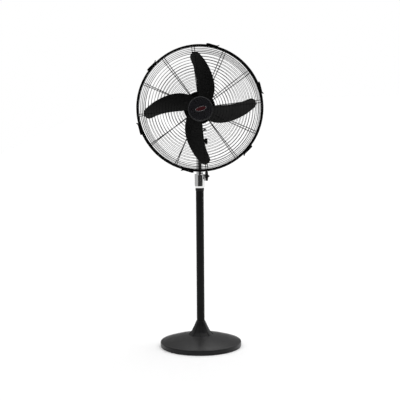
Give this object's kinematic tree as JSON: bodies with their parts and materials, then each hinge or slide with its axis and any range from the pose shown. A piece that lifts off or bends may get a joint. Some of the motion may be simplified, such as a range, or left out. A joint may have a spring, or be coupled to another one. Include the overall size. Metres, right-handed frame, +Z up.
{
  "type": "pedestal fan",
  "caption": "Tall industrial pedestal fan with scimitar blades in a wire guard, a chrome height collar, a telescopic column and a round cast base.",
  "frame": {"origin": "centre of the round base on the floor, directly under the column axis", "axes": "+Z up along the column; the fan blows towards -Y; +X is on the right as seen from the front"},
  "size_m": [0.6628, 0.438, 1.6269],
  "materials": {
    "base_paint": "satin black paint on cast iron",
    "column_paint": "satin black powder coat",
    "rubber_pad": "matte",
    "steel": "zinc plated",
    "dark_steel": "blackened",
    "black_plastic": "matte",
    "knob_plastic": "fine grained black",
    "chrome": "bright plated",
    "cast_black": "black paint on a casting",
    "nylon": "natural",
    "bronze": "machined",
    "motor_paint": "satin black paint",
    "lamination": "stacked sheet",
    "copper": "lacquered winding",
    "can_plastic": "matte",
    "zinc": "die cast",
    "blade_plastic": "black, semi-gloss",
    "guard_paint": "black powder coat on wire",
    "badge_gloss": "gloss black"
  },
  "bodies": {
    "base": {"base_casting": "base_paint", "foot_ring": "rubber_pad", "base_bolt": "steel", "column_plug": "steel", "column_tube": "column_paint", "column_ring": "black_plastic", "height_collar": "chrome", "collar_bush": "black_plastic"},
    "height_lock": {"height_knob": "knob_plastic", "height_screw": "dark_steel"},
    "slide": {"inner_tube": "chrome", "tube_guide": "black_plastic", "tube_fork": "cast_black", "fork_screw": "steel", "tilt_bolt": "steel", "tilt_washers": "nylon"},
    "tilt_lock": {"tilt_knob": "knob_plastic"},
    "neck": {"tilt_neck": "cast_black", "swivel_bush": "bronze", "swivel_keeper": "steel"},
    "link": {"link_bar": "steel"},
    "head": {"motor_cradle": "cast_black", "head_screws": "steel", "swivel_spindle": "steel", "motor_front_shell": "motor_paint", "motor_rear_shell": "motor_paint", "stator_core": "lamination", "stator_coils": "copper", "shaft_bearings": "steel", "capacitor": "can_plastic", "speed_switch": "black_plastic", "gearbox_housing": "zinc", "gearbox_cover": "zinc", "rear_cover": "motor_paint", "cover_screws": "steel", "cord_gland": "rubber_pad", "guard_plate": "guard_paint", "guard_screws": "steel", "rear_guard": "guard_paint", "front_guard": "guard_paint", "rear_rings": "guard_paint", "front_rings": "guard_paint", "guard_badge": "badge_gloss"},
    "rotor": {"motor_shaft": "steel", "rotor_core": "lamination", "worm": "bronze", "blade_set": "blade_plastic", "blade_insert": "bronze", "drive_pin": "steel", "spinner_nut": "blade_plastic"},
    "clutch_gear": {"clutch_gear": "nylon"},
    "crank": {"crank": "steel"},
    "clutch_pull": {"clutch_knob": "knob_plastic"},
    "speed_dial": {"speed_knob": "knob_plastic"},
    "clip_1": {"guard_clip_1": "guard_paint"},
    "clip_2": {"guard_clip_2": "guard_paint"},
    "clip_3": {"guard_clip_3": "guard_paint"},
    "clip_4": {"guard_clip_4": "guard_paint"},
    "clip_5": {"guard_clip_5": "guard_paint"},
    "clip_6": {"guard_clip_6": "guard_paint"}
  },
  "joints": [
    {"name": "height_slide", "type": "slide", "parent": "base", "child": "slide", "axis": [0, 0, 1], "range_m": [-0.03, 0.25]},
    {"name": "height_lock_turn", "type": "hinge", "parent": "base", "child": "height_lock", "pos_m": [0.027, 0, 0.926], "axis": [1, 0, 0], "range_deg": [0, 360]},
    {"name": "head_tilt", "type": "hinge", "parent": "slide", "child": "neck", "pos_m": [0, 0, 1.114], "axis": [1, 0, 0], "range_deg": [-20, 10]},
    {"name": "tilt_lock_turn", "type": "hinge", "parent": "slide", "child": "tilt_lock", "pos_m": [0.035, 0, 1.114], "axis": [1, 0, 0], "range_deg": [0, 360]},
    {"name": "head_oscillate", "type": "hinge", "parent": "neck", "child": "head", "pos_m": [0, 0, 1.174], "axis": [0, 0, 1], "range_deg": [-35, 35]},
    {"name": "link_swing", "type": "hinge", "parent": "neck", "child": "link", "pos_m": [0.03, 0, 1.177], "axis": [0, 0, 1], "range_deg": [-36, 36]},
    {"name": "crank_turn", "type": "hinge", "parent": "head", "child": "crank", "pos_m": [0, 0.092, 1.184], "axis": [0, 0, 1], "range_deg": [-92, 92]},
    {"name": "blade_spin", "type": "hinge", "parent": "head", "child": "rotor", "pos_m": [0, -0.12, 1.292], "axis": [0, -1, 0], "continuous": true},
    {"name": "clutch_gear_spin", "type": "hinge", "parent": "head", "child": "clutch_gear", "pos_m": [0.026, 0.084, 1.292], "axis": [0, 0, 1], "continuous": true},
    {"name": "clutch_pull", "type": "slide", "parent": "head", "child": "clutch_pull", "axis": [0, 0, 1], "range_m": [0, 0.008]},
    {"name": "speed_dial_turn", "type": "hinge", "parent": "head", "child": "speed_dial", "pos_m": [0, 0.16, 1.292], "axis": [0, 1, 0], "range_deg": [0, 120]},
    {"name": "clip_1_open", "type": "hinge", "parent": "head", "child": "clip_1", "pos_m": [0.30699, -0.13, 1.42231], "axis": [0, -1, 0], "range_deg": [0, 75]},
    {"name": "clip_2_open", "type": "hinge", "parent": "head", "child": "clip_2", "pos_m": [0.04064, -0.13, 1.62301], "axis": [0, -1, 0], "range_deg": [0, 75]},
    {"name": "clip_3_open", "type": "hinge", "parent": "head", "child": "clip_3", "pos_m": [-0.26634, -0.13, 1.4927], "axis": [0, -1, 0], "range_deg": [0, 75]},
    {"name": "clip_4_open", "type": "hinge", "parent": "head", "child": "clip_4", "pos_m": [-0.30699, -0.13, 1.16169], "axis": [0, -1, 0], "range_deg": [0, 75]},
    {"name": "clip_5_open", "type": "hinge", "parent": "head", "child": "clip_5", "pos_m": [-0.04064, -0.13, 0.96099], "axis": [0, -1, 0], "range_deg": [0, 75]},
    {"name": "clip_6_open", "type": "hinge", "parent": "head", "child": "clip_6", "pos_m": [0.26634, -0.13, 1.09129], "axis": [0, -1, 0], "range_deg": [0, 75]}
  ],
  "couplings": [
    {"joint": "crank_turn", "follows": "head_oscillate", "ratio": -2.5714},
    {"joint": "link_swing", "follows": "head_oscillate", "ratio": 0.921},
    {"joint": "clutch_gear_spin", "follows": "blade_spin", "ratio": 0.033333}
  ]
}
